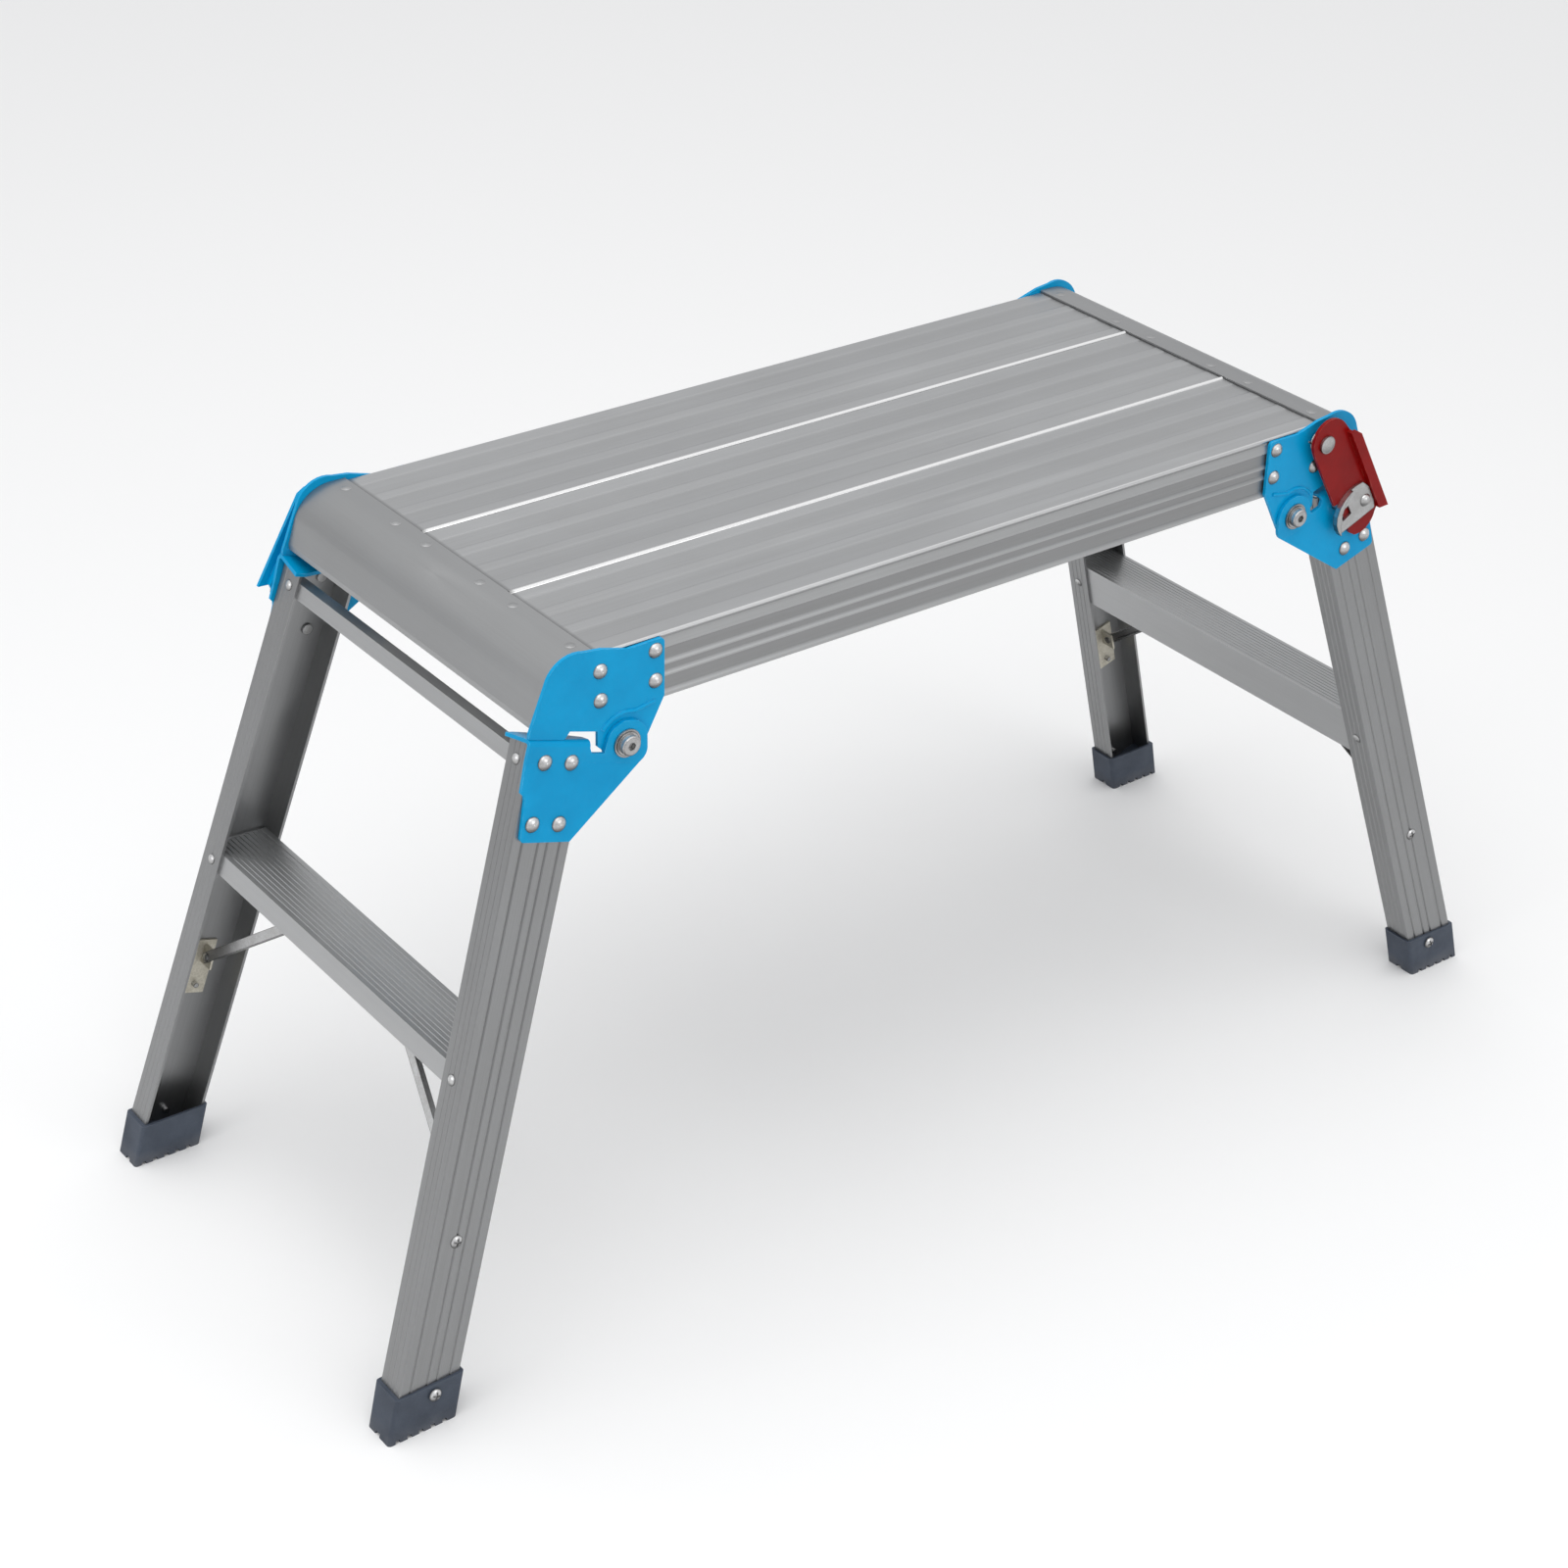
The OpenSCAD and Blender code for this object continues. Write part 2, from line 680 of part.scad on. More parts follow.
module brace_clips() {
  color(zinc) for (front = [false, true]) at_side(front) brace_clip();
}

module brace_rivets() {
  color(zinc) in_leg_axes() for (front = [false, true]) at_side(front)
    translate([brace_u + brace_t + touch, brace_pin[0], brace_pin[1]]) rotate([0, 90, 0])
      rivet(3.4, 1.5, 2, brace_t + 1.5 + 4 * touch, 3, 1.2);
}

module clip_screws() {
  color(zinc) in_leg_axes() for (front = [false, true]) at_side(front) on_web()
    translate([clip_u, touch, clip_w]) towards_y() screw(4.6, 2, 2, 7);
}

// ---------- boots ----------

boot_lean = 14;
boot_splay = 2.9;
boot_mid = [468.6, 177.6, boot_h / 2];

// Boot's outer form: a leaning block cut level with the floor at both ends
module boot_block() {
  intersection() {
    translate(boot_mid) rotate([0, -boot_lean, 0]) rotate([boot_splay, 0, 0])
      linear_extrude(80, center = true) rounded_rect(boot_l, boot_w, 2.5);
    translate([400, 120, 0]) cube([160, 120, boot_h]);
  }
}

module rounded_rect(l, w, r) {
  square([l - 2 * r, w], center = true);
  square([l, w - 2 * r], center = true);
  for (x = [-1, 1]) for (y = [-1, 1]) translate([x * (l / 2 - r), y * (w / 2 - r)]) circle(r, $fn = 24);
}

module boot() {
  color(rubber) difference() {
    boot_block();
    in_leg_axes() on_web() translate([u_in - 0.1, -leg_w - 0.1, leg_low_w - 0.1])
      cube([leg_d + 0.2, leg_w + 0.2, 80]);
    for (i = [-2 : 2]) translate([boot_mid[0] + 3.5 + i * 8.8, 100, -1]) cube([3.4, 120, 3.6]);
    translate([400, boot_mid[1] - 2.5, -1]) cube([160, 5, 3.6]);
    in_leg_axes() boot_screw_axis() cylinder(r = 2.1, h = 20, center = true);
  }
}

// Screw through the boot's outer wall into the web
module boot_screw_axis() {
  on_web() translate([u_in + 18, 1, leg_w_at(u_in + 18, 24)]) towards_y() children();
}

module boot_screws() {
  color(zinc) in_leg_axes() for (front = [false, true]) at_side(front)
    boot_screw_axis() translate([0, 0, 2.2]) screw(4.6, 2, 2, 9);
}

// ---------- latches ----------

// From the latch lever's own axes: b outward across it, and up along it
module at_latch() {
  at_side(true) translate([latch_x, 0, latch_z]) rotate([0, -latch_lean, 0]) children();
}

latch_pin_r = 4;
lever_half = 16.7;
lever_edge = 22.5;
lever_b_in = -12.2;
lip_rise = 4.5;
lip_w = 7.8;
striker_a = 59.1;
striker_b = -6.9;
slot_r = striker_r + 0.3;

// The rear lever is the shorter one at both ends
function lever_outline(rise) = concat(
  rise > 0 ? arc(0, 0, 7.5, 180, 60, 8) : arc(4.5, -1, lever_half, 180, 12, 16),
  [[lever_edge, -6], [lever_edge, rise - 84.5]],
  arc(5, rise - 78, 16.5, -38, -128, 8),
  [[-8.2, rise - 86], [-8.2, -striker_a - slot_r - 1.2], [-7.2, -striker_a - slot_r]],
  arc(striker_b, -striker_a, slot_r, -90, 90, 8),
  [[lever_b_in, -striker_a + slot_r + 1.2]]);

module latch_lever(paint, rise) {
  color(paint) at_latch() difference() {
    union() {
      wall_y(lever_y, lever_y + lever_t) polygon(lever_outline(rise));
      translate([lever_edge - lever_t, lever_y, rise - 84.5])
        cube([lever_t, lever_t + lip_rise, 78.5 - rise]);
      translate([lever_edge - lever_t, lever_y + lip_rise, 0]) wall_lip(rise);
    }
    towards_y() cylinder(r = latch_pin_r + bolt_gap, h = 200);
    translate([catch_rivet[0], 0, catch_rivet[1]]) towards_y() cylinder(r = 2.5 + touch, h = 200);
  }
}

// Finger lip: stands out beyond the lever's edge, its upper corner cut back
module wall_lip(rise) {
  wall_y(0, lever_t) polygon([[0, rise - 84.5], [lip_w, rise - 88.5], [lip_w, -13], [4.5, -7], [0, -6]]);
}

catch_rivet = [12.5, -70];
function catch_outline() = [[16, -54], [9, -51.8], [2, -51.3], [-5, -52.6], [-11, -55.6], [-16, -60.2],
  [-18.8, -66], [-19.4, -72], [-18.6, -77.2], [0, -80.2], [17.5, -82.6], [19.5, -77], [19.5, -62]];

// D-shaped plate on the lever's lower end: it covers the hook and the striker's end
module latch_catch() {
  color(zinc) at_latch() {
    difference() {
      union() {
        wall_y(lever_y + lever_t + touch, lever_y + lever_t + touch + catch_t) polygon(catch_outline());
        intersection() {
          wall_y(lever_y + lever_t + touch, lever_y + lever_t + 4.2) polygon(catch_outline());
          wall_y(lever_y + lever_t, lever_y + 20) difference() {
            translate([-30, -90]) square([60, 45]);
            translate([16, -84]) circle(34.5, $fn = 64);
          }
        }
      }
      wall_y(lever_y, lever_y + 20) translate([-11, -69.5]) square([8.5, 8]);
      translate([catch_rivet[0], 0, catch_rivet[1]]) towards_y() cylinder(r = 2.5 + touch, h = 200);
    }
    translate([catch_rivet[0], lever_y + lever_t + catch_t + 2 * touch, catch_rivet[1]]) towards_y()
      rivet(4.8, 3, 2.5, lever_t + catch_t + 3 * touch, 3.8, 0.6);
  }
}

// Shouldered pin of the lever, riveted through the deck bracket and the skirt
module latch_pin() {
  inside = skirt_y - 3.2 - touch;
  shoulder_top = lever_y - 0.1;
  plate_face = deck_plate_y + plate_t + touch;
  color(zinc) at_side(true) translate([latch_x, 0, latch_z]) towards_y() {
    translate([0, 0, inside - 1.6]) cylinder(r = 4.2, h = 1.6);
    translate([0, 0, inside - touch]) cylinder(r = deck_rivet_r, h = plate_face - inside + 1);
    translate([0, 0, plate_face]) cylinder(r = 6, h = shoulder_top - plate_face);
    translate([0, 0, shoulder_top - 1]) cylinder(r = latch_pin_r, h = lever_t + 1.3);
    translate([0, 0, lever_y + lever_t + 0.15]) {
      cylinder(r = 6.6, h = 1.8);
      translate([0, 0, 1.7]) dome(6, 1.2);
    }
  }
}

// Torsion spring round the pin's shoulder: two and a half turns and two short tails
spring_r = 8;
wire_r = 0.7;
function spring_path() = concat(
  [[spring_r + 7, -3, 0]],
  [for (i = [0 : 40]) let(a = 360 * 2.5 * i / 40) [spring_r * cos(a), spring_r * sin(a), 4 * i / 40]],
  [[-spring_r - 6, -4, 4]]);
module latch_spring() {
  color(zinc) at_side(true) translate([latch_x, deck_plate_y + plate_t + 1, latch_z]) towards_y()
    wire(spring_path(), wire_r);
}

// Sweeps a six-sided wire along a path
module wire(path, r) {
  n = len(path);
  ring = function(i)
    let(
      d = path[min(i + 1, n - 1)] - path[max(i - 1, 0)],
      side = cross(d, [0, 0, 1]) / norm(cross(d, [0, 0, 1])),
      up = cross(side, d) / norm(d))
    [for (k = [0 : 5]) path[i] + r * (cos(60 * k) * side + sin(60 * k) * up)];
  points = [for (i = [0 : n - 1]) each ring(i)];
  faces = concat(
    [[for (k = [0 : 5]) k]],
    [for (i = [0 : n - 2]) for (k = [0 : 5])
      [6 * i + k, 6 * (i + 1) + k, 6 * (i + 1) + (k + 1) % 6, 6 * i + (k + 1) % 6]],
    [[for (k = [5 : -1 : 0]) 6 * (n - 1) + k]]);
  polyhedron(points, faces, convexity = 8);
}

// ---------- the assembly ----------

deck_plank_centre();
deck_plank_front();
deck_plank_rear();
at_end(true) end_cap();  // left_end_cap
at_end(false) end_cap();  // right_end_cap
end_cap_rivets();
at_end(true) at_side(false) deck_bracket();  // deck_bracket_front_left
at_end(false) at_side(true) deck_bracket();  // deck_bracket_front_right
at_end(true) at_side(true) deck_bracket();  // deck_bracket_rear_left
at_end(false) at_side(false) deck_bracket();  // deck_bracket_rear_right
deck_bracket_rivets();
hinge_bolts();
hinge_bolt_washers();
hinge_bolt_nuts();
at_end(false) latch_pin();  // front_latch_pin
at_end(true) latch_pin();  // rear_latch_pin
at_end(false) latch_spring();  // front_latch_spring
at_end(true) latch_spring();  // rear_latch_spring
at_end(true) at_side(false) leg();  // left_leg_front
at_end(true) at_side(true) leg();  // left_leg_rear
at_end(false) at_side(true) leg();  // right_leg_front
at_end(false) at_side(false) leg();  // right_leg_rear
at_end(true) at_side(false) leg_bracket();  // left_leg_bracket_front
at_end(true) at_side(true) leg_bracket();  // left_leg_bracket_rear
at_end(false) at_side(true) leg_bracket();  // right_leg_bracket_front
at_end(false) at_side(false) leg_bracket();  // right_leg_bracket_rear
at_end(true) bracket_rivets();  // left_bracket_rivets
at_end(false) bracket_rivets();  // right_bracket_rivets
at_end(true) latch_striker();  // left_latch_striker
at_end(false) latch_striker();  // right_latch_striker
at_end(true) top_bar();  // left_top_bar
at_end(false) top_bar();  // right_top_bar
at_end(true) top_bar_rivets();  // left_top_bar_rivets
at_end(false) top_bar_rivets();  // right_top_bar_rivets
at_end(true) step_tread();  // left_step
at_end(false) step_tread();  // right_step
at_end(true) step_rivets();  // left_step_rivets
at_end(false) step_rivets();  // right_step_rivets
at_end(true) at_side(false) brace();  // left_brace_front
at_end(true) at_side(true) brace();  // left_brace_rear
at_end(false) at_side(true) brace();  // right_brace_front
at_end(false) at_side(false) brace();  // right_brace_rear
at_end(true) brace_clips();  // left_brace_clips
at_end(false) brace_clips();  // right_brace_clips
at_end(true) brace_rivets();  // left_brace_rivets
at_end(false) brace_rivets();  // right_brace_rivets
at_end(true) clip_screws();  // left_clip_screws
at_end(false) clip_screws();  // right_clip_screws
at_end(true) at_side(false) boot();  // left_boot_front
at_end(true) at_side(true) boot();  // left_boot_rear
at_end(false) at_side(true) boot();  // right_boot_front
at_end(false) at_side(false) boot();  // right_boot_rear
at_end(true) boot_screws();  // left_boot_screws
at_end(false) boot_screws();  // right_boot_screws
at_end(false) latch_lever(red, 0);  // front_latch_lever
at_end(true) latch_lever(blue, 7);  // rear_latch_lever
at_end(false) latch_catch();  // front_latch_catch
at_end(true) latch_catch();  // rear_latch_catch
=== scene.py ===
import math

import bpy
from mathutils import Matrix, Vector


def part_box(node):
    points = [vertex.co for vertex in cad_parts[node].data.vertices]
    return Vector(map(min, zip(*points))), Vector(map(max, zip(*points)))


# Studio scene of a folding aluminium work platform. The visible pieces are the CAD nodes
# themselves: this script gives each one a procedural material, adds a pale floor and soft
# lights, and sets the camera. Lengths are in metres.

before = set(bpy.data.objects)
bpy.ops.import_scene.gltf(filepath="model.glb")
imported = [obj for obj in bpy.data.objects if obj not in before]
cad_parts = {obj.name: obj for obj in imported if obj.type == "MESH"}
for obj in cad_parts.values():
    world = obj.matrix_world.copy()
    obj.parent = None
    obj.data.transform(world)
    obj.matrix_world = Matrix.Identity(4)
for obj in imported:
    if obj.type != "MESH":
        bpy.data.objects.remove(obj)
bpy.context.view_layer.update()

MM = 0.001

# How far each leg leans out along the deck, and how far it splays out across it
LEAN = math.radians(17.63)
SPLAY = math.radians(4.75)

# Faces of the deck that its painted shade and highlights follow
DECK_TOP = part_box("deck_plank_centre")[1].z
SKIRT_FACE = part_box("deck_plank_rear")[1].y
SEAM = (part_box("deck_plank_centre")[1].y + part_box("deck_plank_rear")[0].y) / 2
SEAM_BEAD = SEAM + 1.9 * MM
LEFT_CAP_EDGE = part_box("left_end_cap")[1].x


# ---------- node helpers ----------

class Shader:
    """A material's node tree, with short calls for the nodes used here."""

    def __init__(self, name):
        self.mat = bpy.data.materials.new(name)
        self.mat.use_nodes = True
        self.tree = self.mat.node_tree
        self.tree.nodes.clear()
        self.out = self.tree.nodes.new("ShaderNodeOutputMaterial")
        self.bsdf = self.tree.nodes.new("ShaderNodeBsdfPrincipled")
        self.link(self.bsdf.outputs[0], self.out.inputs[0])
        self.texture_coords = self.tree.nodes.new("ShaderNodeTexCoord")
        self.coords = self.texture_coords.outputs["Object"]

    def link(self, a, b):
        self.tree.links.new(a, b)

    def put(self, node, socket, value):
        """Link a socket to an input, or set the input to a constant."""
        if isinstance(value, bpy.types.NodeSocket):
            self.link(value, node.inputs[socket])
        else:
            node.inputs[socket].default_value = value

    def parts(self, vector):
        """The X, Y and Z outputs of a vector."""
        split = self.tree.nodes.new("ShaderNodeSeparateXYZ")
        self.link(vector, split.inputs[0])
        return split.outputs["X"], split.outputs["Y"], split.outputs["Z"]

    def mapped(self, scale=(1, 1, 1), turn=(0, 0, 0)):
        """Object coordinates turned back by the Euler angles and then scaled."""
        turned = self.tree.nodes.new("ShaderNodeMapping")
        self.link(self.coords, turned.inputs["Vector"])
        turned.inputs["Rotation"].default_value = turn
        scaled = self.tree.nodes.new("ShaderNodeMapping")
        self.link(turned.outputs[0], scaled.inputs["Vector"])
        scaled.inputs["Scale"].default_value = scale
        return scaled.outputs[0]

    def noise(self, vector, scale, detail=3.0, rough=0.55):
        n = self.tree.nodes.new("ShaderNodeTexNoise")
        self.put(n, "Vector", vector)
        self.put(n, "Scale", scale)
        self.put(n, "Detail", detail)
        self.put(n, "Roughness", rough)
        return n.outputs["Fac"]

    def cells(self, vector, scale):
        """Distance from the middle of the nearest Voronoi cell."""
        n = self.tree.nodes.new("ShaderNodeTexVoronoi")
        self.put(n, "Vector", vector)
        self.put(n, "Scale", scale)
        return n.outputs["Distance"]

    def span(self, value, low, high, to_low=0.0, to_high=1.0):
        """The value's place between low and high, clamped, as a value from to_low to to_high."""
        n = self.tree.nodes.new("ShaderNodeMapRange")
        for socket, v in zip(("Value", "From Min", "From Max", "To Min", "To Max"),
                             (value, low, high, to_low, to_high)):
            self.put(n, socket, v)
        return n.outputs[0]

    def math(self, op, a, b=0.0):
        n = self.tree.nodes.new("ShaderNodeMath")
        n.operation = op
        self.put(n, 0, a)
        self.put(n, 1, b)
        return n.outputs[0]

    def both(self, a, b):
        return self.math("MULTIPLY", a, b)

    def blend(self, *parts):
        """Weighted sum of (value, weight) pairs."""
        total = self.both(*parts[0])
        for value, weight in parts[1:]:
            total = self.math("ADD", total, self.both(value, weight))
        return total

    def mix(self, fac, a, b):
        """Colour a where fac is 0 and colour b where it is 1."""
        n = self.tree.nodes.new("ShaderNodeMix")
        n.data_type = "RGBA"
        self.put(n, 0, fac)
        self.put(n, 6, a)
        self.put(n, 7, b)
        return n.outputs[2]

    def edges(self, radius):
        """1 on edges and corners, 0 on flat faces."""
        bevel = self.tree.nodes.new("ShaderNodeBevel")
        bevel.samples = 6
        bevel.inputs["Radius"].default_value = radius
        geo = self.tree.nodes.new("ShaderNodeNewGeometry")
        dot = self.tree.nodes.new("ShaderNodeVectorMath")
        dot.operation = "DOT_PRODUCT"
        self.link(bevel.outputs[0], dot.inputs[0])
        self.link(geo.outputs["Normal"], dot.inputs[1])
        return self.span(dot.outputs["Value"], 0.995, 0.85)

    def bump(self, height, strength, distance):
        n = self.tree.nodes.new("ShaderNodeBump")
        self.put(n, "Height", height)
        n.inputs["Strength"].default_value = strength
        n.inputs["Distance"].default_value = distance
        self.link(n.outputs[0], self.bsdf.inputs["Normal"])

    def set(self, **values):
        """Set inputs of the Principled shader, with _ for the spaces in their names."""
        for socket, value in values.items():
            self.put(self.bsdf, socket.replace("_", " "), value)


def grey(v, warm=0.0):
    return (v * (1 + warm), v, v * (1 - warm), 1.0)


# ---------- materials ----------
# Noise scales are in waves per metre, and bump distances in metres.

def deck_shade_and_highlights(s, colour, polish):
    """Tones that follow the planks' shape: darker flutes, painted shade on the skirt and its grooves,
    painted highlights on the beads and the skirt's top edge, and a painted shadow by the left end cap.
    """
    x, y, z = s.parts(s.coords)
    y = s.math("ABSOLUTE", y)

    flute = s.span(z, DECK_TOP - 0.05 * MM, DECK_TOP - 0.25 * MM)
    colour = s.mix(s.both(flute, 0.1), colour, grey(0.1))
    # Painted shade on the skirt's side face, and deeper painted shade in its grooves
    skirt_shade = s.both(s.span(y, SKIRT_FACE - 3 * MM, SKIRT_FACE - 2 * MM),
                   s.span(z, DECK_TOP - 2.5 * MM, DECK_TOP - 3.5 * MM))
    colour = s.mix(s.both(skirt_shade, 0.12), colour, grey(0.1))
    groove_shade = s.both(skirt_shade, s.span(y, SKIRT_FACE - 0.3 * MM, SKIRT_FACE - MM))
    colour = s.mix(s.both(groove_shade, 0.38), colour, grey(0.08))

    # Painted highlights on the seam beads and the skirt's top edge, which are also made glossier
    from_bead = s.math("ABSOLUTE", s.math("SUBTRACT", y, SEAM_BEAD))
    bead_highlight = s.both(s.span(from_bead, 2.1 * MM, 1.7 * MM), s.span(z, DECK_TOP - 1.5 * MM, DECK_TOP - 0.5 * MM))
    skirt_edge_highlight = s.both(s.span(y, SKIRT_FACE - 1.5 * MM, SKIRT_FACE - 1.1 * MM),
                  s.span(z, DECK_TOP - 2 * MM, DECK_TOP - 1.5 * MM))
    bright = s.math("MAXIMUM", bead_highlight, s.both(skirt_edge_highlight, 0.5))
    colour = s.mix(bright, colour, grey(0.9))
    polish = s.math("SUBTRACT", polish, s.both(bright, 0.16))

    # Painted shadow along the edge of the left end cap
    cap_edge_shadow = s.both(s.span(x, LEFT_CAP_EDGE + 5 * MM, LEFT_CAP_EDGE + 2 * MM), 0.6)
    return s.mix(cap_edge_shadow, colour, grey(0.09)), polish


def aluminium(name, along, turn=(0, 0, 0), base=0.62, rough=0.36, vary=1.0, deck=False):
    """Extruded or rolled aluminium with its fine lines along one axis of the turned coordinates."""
    s = Shader(name)
    fine = [1400.0, 1400.0, 1400.0]
    fine[along] = 6.0
    broad = [60.0, 60.0, 60.0]
    broad[along] = 2.0
    lines = s.noise(s.mapped(tuple(fine), turn), 1.0, 2.0, 0.6)
    streaks = s.noise(s.mapped(tuple(broad), turn), 1.0, 4.0, 0.65)
    clouds = s.noise(s.coords, 14.0, 4.0, 0.6)
    specks = s.noise(s.coords, 2600.0, 1.0, 0.5)
    tone = s.blend((lines, 0.35), (streaks, 0.4), (clouds, 0.25))
    dull = grey(base * (1 - 0.14 * vary), -0.006)
    bright = grey(base * (1 + 0.1 * vary), -0.014)
    colour = s.mix(s.span(tone, 0.3, 0.7), dull, bright)
    # Painted highlights: edges and corners are painted lighter
    colour = s.mix(s.both(s.edges(0.9 * MM), 0.5), colour, grey(min(base * 1.3, 0.9)))
    polish = s.span(tone, 0.3, 0.7, rough - 0.06 * vary, rough + 0.1 * vary)
    if deck:
        colour, polish = deck_shade_and_highlights(s, colour, polish)
    s.set(Base_Color=colour, Metallic=0.9, Roughness=polish, Anisotropic=0.35)
    s.bump(s.blend((lines, 0.8), (specks, 0.2)), 0.25, 0.12 * MM)
    return s.mat


def powder_coat(name, base, dark, light):
    """Semi-gloss powder coat: orange peel, faint clouds, and paler patches on the edges that are partly
    thinner paint and partly painted highlight.
    """
    s = Shader(name)
    peel = s.noise(s.coords, 620.0, 2.0, 0.5)
    fine = s.noise(s.coords, 2100.0, 2.0, 0.5)
    clouds = s.noise(s.coords, 28.0, 3.0, 0.6)
    colour = s.mix(s.span(clouds, 0.3, 0.7), dark, base)
    # Paler patches on edges and corners: partly thinner paint, partly painted highlight
    thin_paint_and_highlight = s.both(s.edges(0.8 * MM), s.span(s.noise(s.coords, 180.0, 3.0), 0.45, 0.62))
    colour = s.mix(s.both(thin_paint_and_highlight, 0.55), colour, light)
    s.set(Base_Color=colour, Metallic=0.0, Roughness=s.span(peel, 0.3, 0.7, 0.3, 0.42),
          Specular_IOR_Level=0.12, Coat_Weight=0.06, Coat_Roughness=0.12)
    s.bump(s.blend((peel, 1.0), (fine, 0.25)), 0.3, 0.25 * MM)
    return s.mat


def plated(name, base=0.72, rough=0.3):
    """Bright zinc plating: small crystal patches, tumbling marks, and painted shade on the edges and
    undersides.
    """
    s = Shader(name)
    patch = s.cells(s.coords, 900.0)
    marks = s.noise(s.coords, 3200.0, 3.0, 0.6)
    clouds = s.noise(s.coords, 120.0, 3.0, 0.6)
    tone = s.blend((patch, 0.35), (clouds, 0.65))
    colour = s.mix(s.span(tone, 0.2, 0.75), grey(base * 0.75, 0.02), grey(base * 1.15, -0.01))
    # Painted shade: faces that point down are painted darker
    facing_up = s.parts(s.texture_coords.outputs["Normal"])[2]
    underside_shade = s.span(facing_up, 0.45, -0.35)
    colour = s.mix(s.both(underside_shade, 0.85), colour, grey(base * 0.12))
    # Painted shade: edges and corners are painted nearly black
    colour = s.mix(s.both(s.edges(1.3 * MM), 0.85), colour, grey(base * 0.08))
    s.set(Base_Color=colour, Metallic=1.0, Roughness=s.span(marks, 0.3, 0.7, rough - 0.06, rough + 0.12))
    s.bump(marks, 0.2, 0.08 * MM)
    return s.mat


def passivated(name):
    """Pale, slightly yellow zinc plating, mottled and matt."""
    s = Shader(name)
    patch = s.cells(s.coords, 700.0)
    clouds = s.noise(s.coords, 160.0, 4.0, 0.6)
    grain = s.noise(s.coords, 2400.0, 2.0, 0.6)
    tone = s.blend((patch, 0.3), (clouds, 0.7))
    colour = s.mix(s.span(tone, 0.25, 0.7), (0.42, 0.39, 0.31, 1), (0.66, 0.63, 0.54, 1))
    s.set(Base_Color=colour, Metallic=0.35, Roughness=s.span(grain, 0.3, 0.7, 0.4, 0.55))
    s.bump(grain, 0.2, 0.1 * MM)
    return s.mat


def moulded_rubber(name):
    """Dark blue-grey moulded rubber, dusty towards the floor."""
    s = Shader(name)
    grain = s.noise(s.coords, 1500.0, 3.0, 0.6)
    clouds = s.noise(s.coords, 45.0, 4.0, 0.6)
    near_floor = s.span(s.parts(s.coords)[2], 12 * MM, 0.0)
    dust = s.both(near_floor, s.span(clouds, 0.35, 0.65, 0.2, 1.0))
    colour = s.mix(s.span(clouds, 0.3, 0.7), (0.032, 0.042, 0.062, 1), (0.055, 0.07, 0.098, 1))
    # Painted highlights: edges and corners are painted a paler blue-grey
    colour = s.mix(s.both(s.edges(0.9 * MM), 0.4), colour, (0.11, 0.13, 0.17, 1))
    colour = s.mix(s.both(dust, 0.35), colour, (0.16, 0.15, 0.14, 1))
    s.set(Base_Color=colour, Metallic=0.0, Roughness=s.span(grain, 0.3, 0.7, 0.55, 0.75))
    s.bump(grain, 0.4, 0.2 * MM)
    return s.mat


DECK_ALU = aluminium("deck_aluminium", 0, base=0.46, vary=0.8, deck=True)
CAP_ALU = aluminium("cap_aluminium", 1, base=0.36, rough=0.4, vary=0.4)
STEP_ALU = aluminium("step_aluminium", 1, base=0.43, vary=0.7)
BLUE = powder_coat("blue_powder_coat", (0.0, 0.32, 0.62, 1), (0.0, 0.27, 0.54, 1), (0.12, 0.5, 0.75, 1))
RED = powder_coat("red_powder_coat", (0.25, 0.001, 0.001, 1), (0.17, 0.001, 0.001, 1), (0.6, 0.12, 0.08, 1))
ZINC = plated("zinc_plating")
STRIP_ZINC = plated("dull_zinc_strip", base=0.62, rough=0.4)
CLIP_ZINC = passivated("yellow_passivated_zinc")
RUBBER = moulded_rubber("moulded_rubber")

# The leg channels' lines run down each leg, so the coordinates are turned by its lean and splay
LEG_ALU = {}
for end, end_sign in (("right", 1), ("left", -1)):
    for side, side_sign in (("rear", 1), ("front", -1)):
        LEG_ALU[f"{end}_leg_{side}"] = aluminium(
            f"leg_aluminium_{end}_{side}", 2, turn=(-SPLAY * side_sign, LEAN * end_sign, 0),
            base=0.28, vary=0.9)


def finish_of(node):
    """The material of a node, by its name."""
    if node in LEG_ALU:
        return LEG_ALU[node]
    if node.startswith("deck_plank"):
        return DECK_ALU
    if node in ("left_end_cap", "right_end_cap", "end_cap_rivets"):
        return CAP_ALU
    if node in ("left_step", "right_step", "left_top_bar", "right_top_bar"):
        return STEP_ALU
    if node == "front_latch_lever":
        return RED
    if node == "rear_latch_lever" or ("bracket" in node and "rivets" not in node):
        return BLUE
    if node.endswith(("boot_front", "boot_rear")):
        return RUBBER
    if node.endswith(("brace_front", "brace_rear")):
        return STRIP_ZINC
    if node.endswith("brace_clips"):
        return CLIP_ZINC
    return ZINC


for name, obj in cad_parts.items():
    obj.data.materials.clear()
    obj.data.materials.append(finish_of(name))


# ---------- floor and light ----------

FLOOR_HALF = 30.0

bpy.context.scene.view_settings.view_transform = "Standard"


def soft_sky(horizon, halfway, overhead):
    """A sky that goes from one colour at the horizon through a second to a third overhead."""
    world = bpy.data.worlds.new("studio")
    bpy.context.scene.world = world
    world.use_nodes = True
    tree = world.node_tree
    height = tree.nodes.new("ShaderNodeSeparateXYZ")
    tree.links.new(tree.nodes.new("ShaderNodeTexCoord").outputs["Generated"], height.inputs[0])
    ramp = tree.nodes.new("ShaderNodeValToRGB")
    tree.links.new(height.outputs["Z"], ramp.inputs[0])
    tree.links.new(ramp.outputs[0], tree.nodes["Background"].inputs[0])
    tree.nodes["Background"].inputs[1].default_value = 1.0
    elements = ramp.color_ramp.elements
    elements[0].color = horizon
    elements[1].color = overhead
    elements.new(0.5).color = halfway


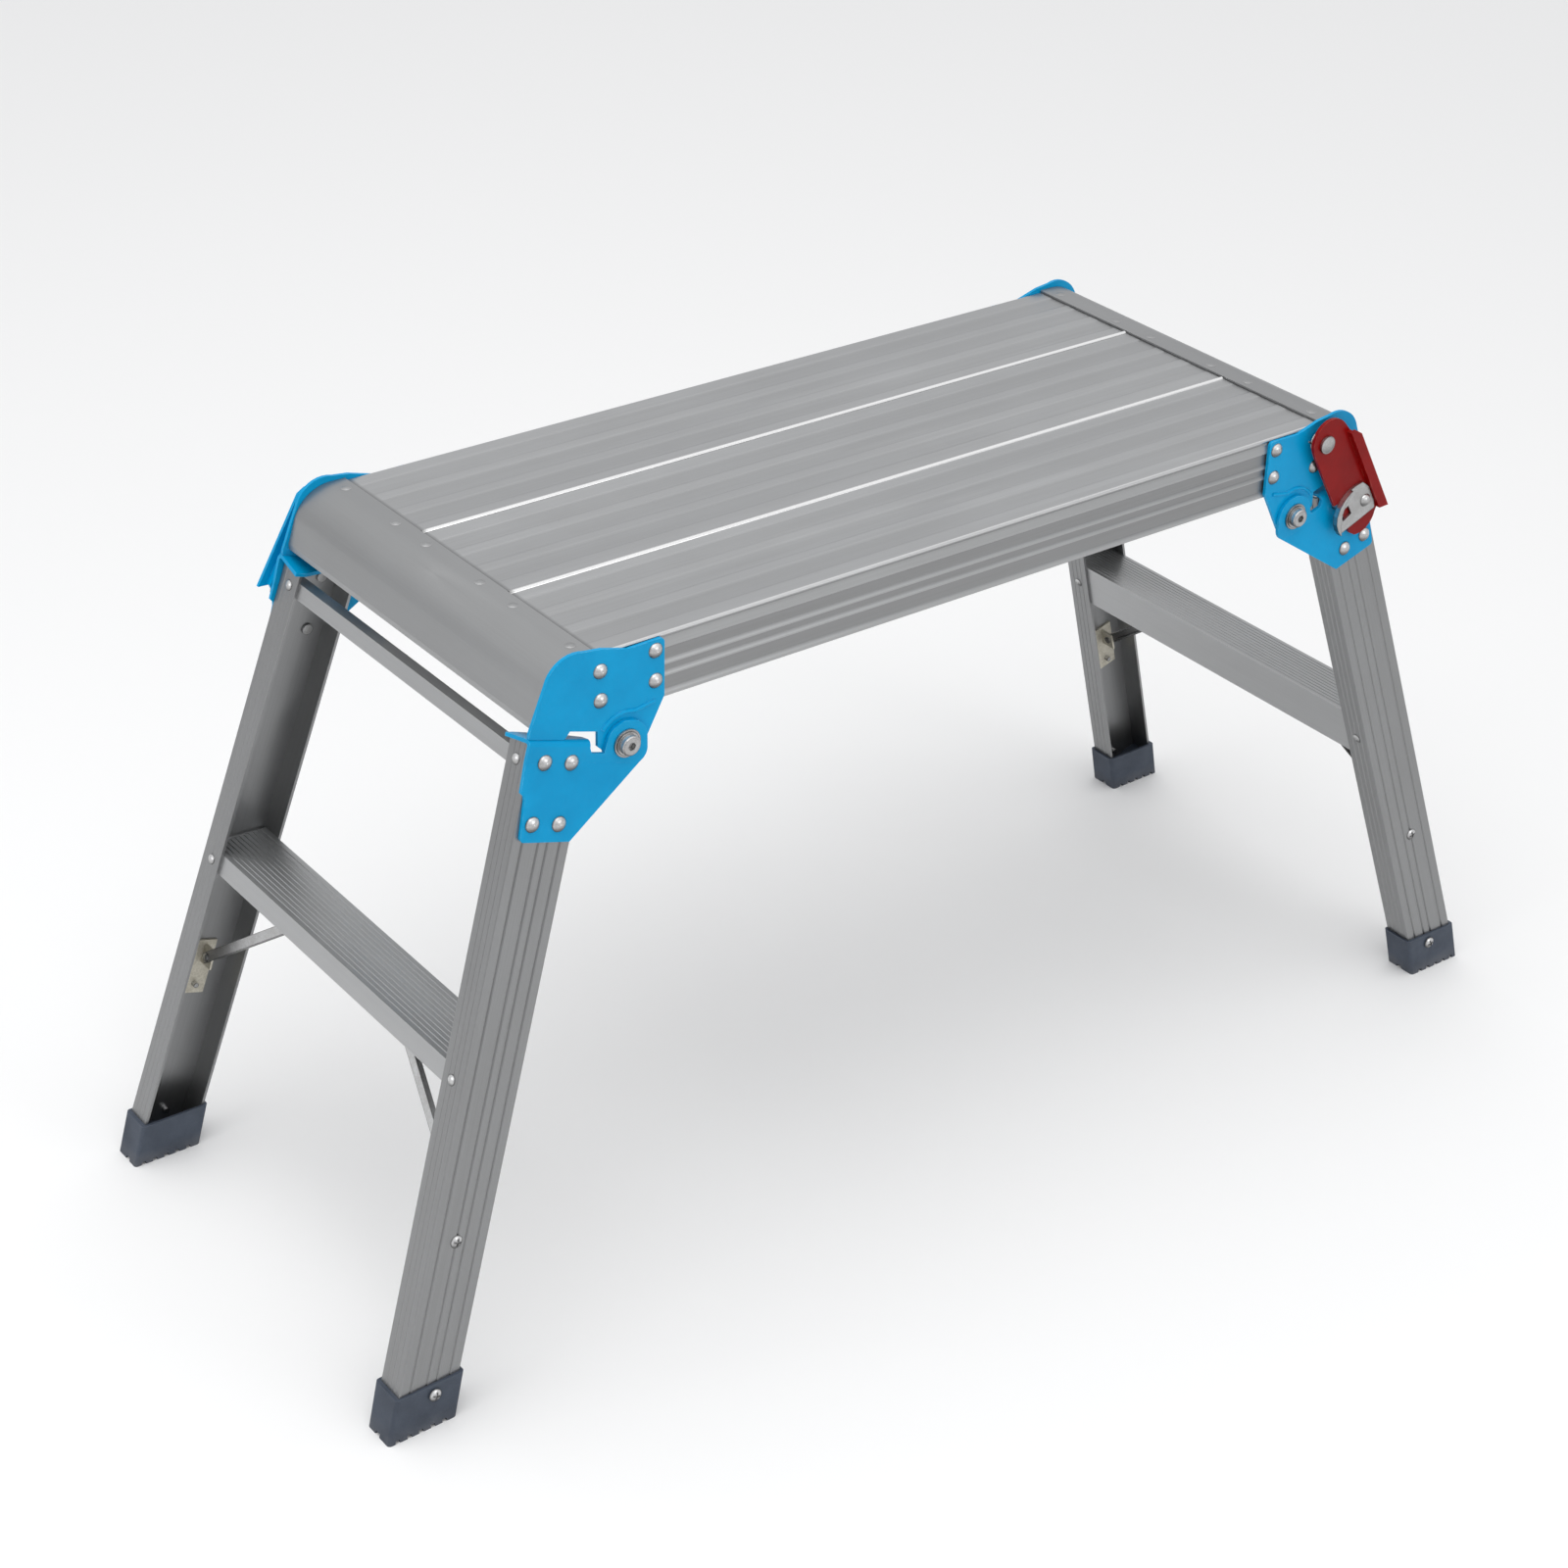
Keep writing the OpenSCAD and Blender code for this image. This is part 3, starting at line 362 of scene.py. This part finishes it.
def pale_floor():
    mesh = bpy.data.meshes.new("floor")
    corners = [(x * FLOOR_HALF, y * FLOOR_HALF, 0) for x, y in ((-1, -1), (1, -1), (1, 1), (-1, 1))]
    mesh.from_pydata(corners, [], [(0, 1, 2, 3)])
    floor = bpy.data.objects.new("floor", mesh)
    bpy.context.collection.objects.link(floor)
    pale = Shader("pale_floor")
    pale.set(Base_Color=grey(0.88), Roughness=0.7)
    mesh.materials.append(pale.mat)


def softbox(name, place, size, watts, towards=(0, 0, 0.3)):
    """A rectangular area light that faces the middle of the object."""
    light = bpy.data.lights.new(name, "AREA")
    light.shape = "RECTANGLE"
    light.size, light.size_y = size
    light.energy = watts
    obj = bpy.data.objects.new(name, light)
    bpy.context.collection.objects.link(obj)
    obj.location = place
    obj.rotation_euler = (Vector(towards) - Vector(place)).to_track_quat("-Z", "Y").to_euler()


soft_sky(horizon=(0.5, 0.505, 0.52, 1), halfway=(0.8, 0.805, 0.815, 1), overhead=(1, 1, 1, 1))
pale_floor()
softbox("key_above", place=(-0.6, -0.4, 2.6), size=(2.2, 2.2), watts=25)
softbox("fill_front", place=(0.6, -2.6, 1.4), size=(1.6, 1.0), watts=8)
softbox("fill_left", place=(-2.6, 0.2, 1.3), size=(1.6, 1.0), watts=6)


# ---------- camera ----------

CAMERA_EYE = Vector((-1.2095, -1.5176, 1.3734))
CAMERA_AIM = Vector((-0.0458, -0.0003, 0.25))
CAMERA_ROLL = math.radians(1.464)
FOCAL_LENGTH = 70.76
SENSOR_WIDTH = 36

lens = bpy.data.cameras.new("camera")
lens.lens = FOCAL_LENGTH
lens.sensor_width = SENSOR_WIDTH
lens.clip_end = 100
camera = bpy.data.objects.new("camera", lens)
bpy.context.collection.objects.link(camera)
level = (CAMERA_AIM - CAMERA_EYE).to_track_quat("-Z", "Y").to_matrix()
turned = level @ Matrix.Rotation(CAMERA_ROLL, 3, "Z")
camera.matrix_world = Matrix.Translation(CAMERA_EYE) @ turned.to_4x4()
bpy.context.scene.camera = camera
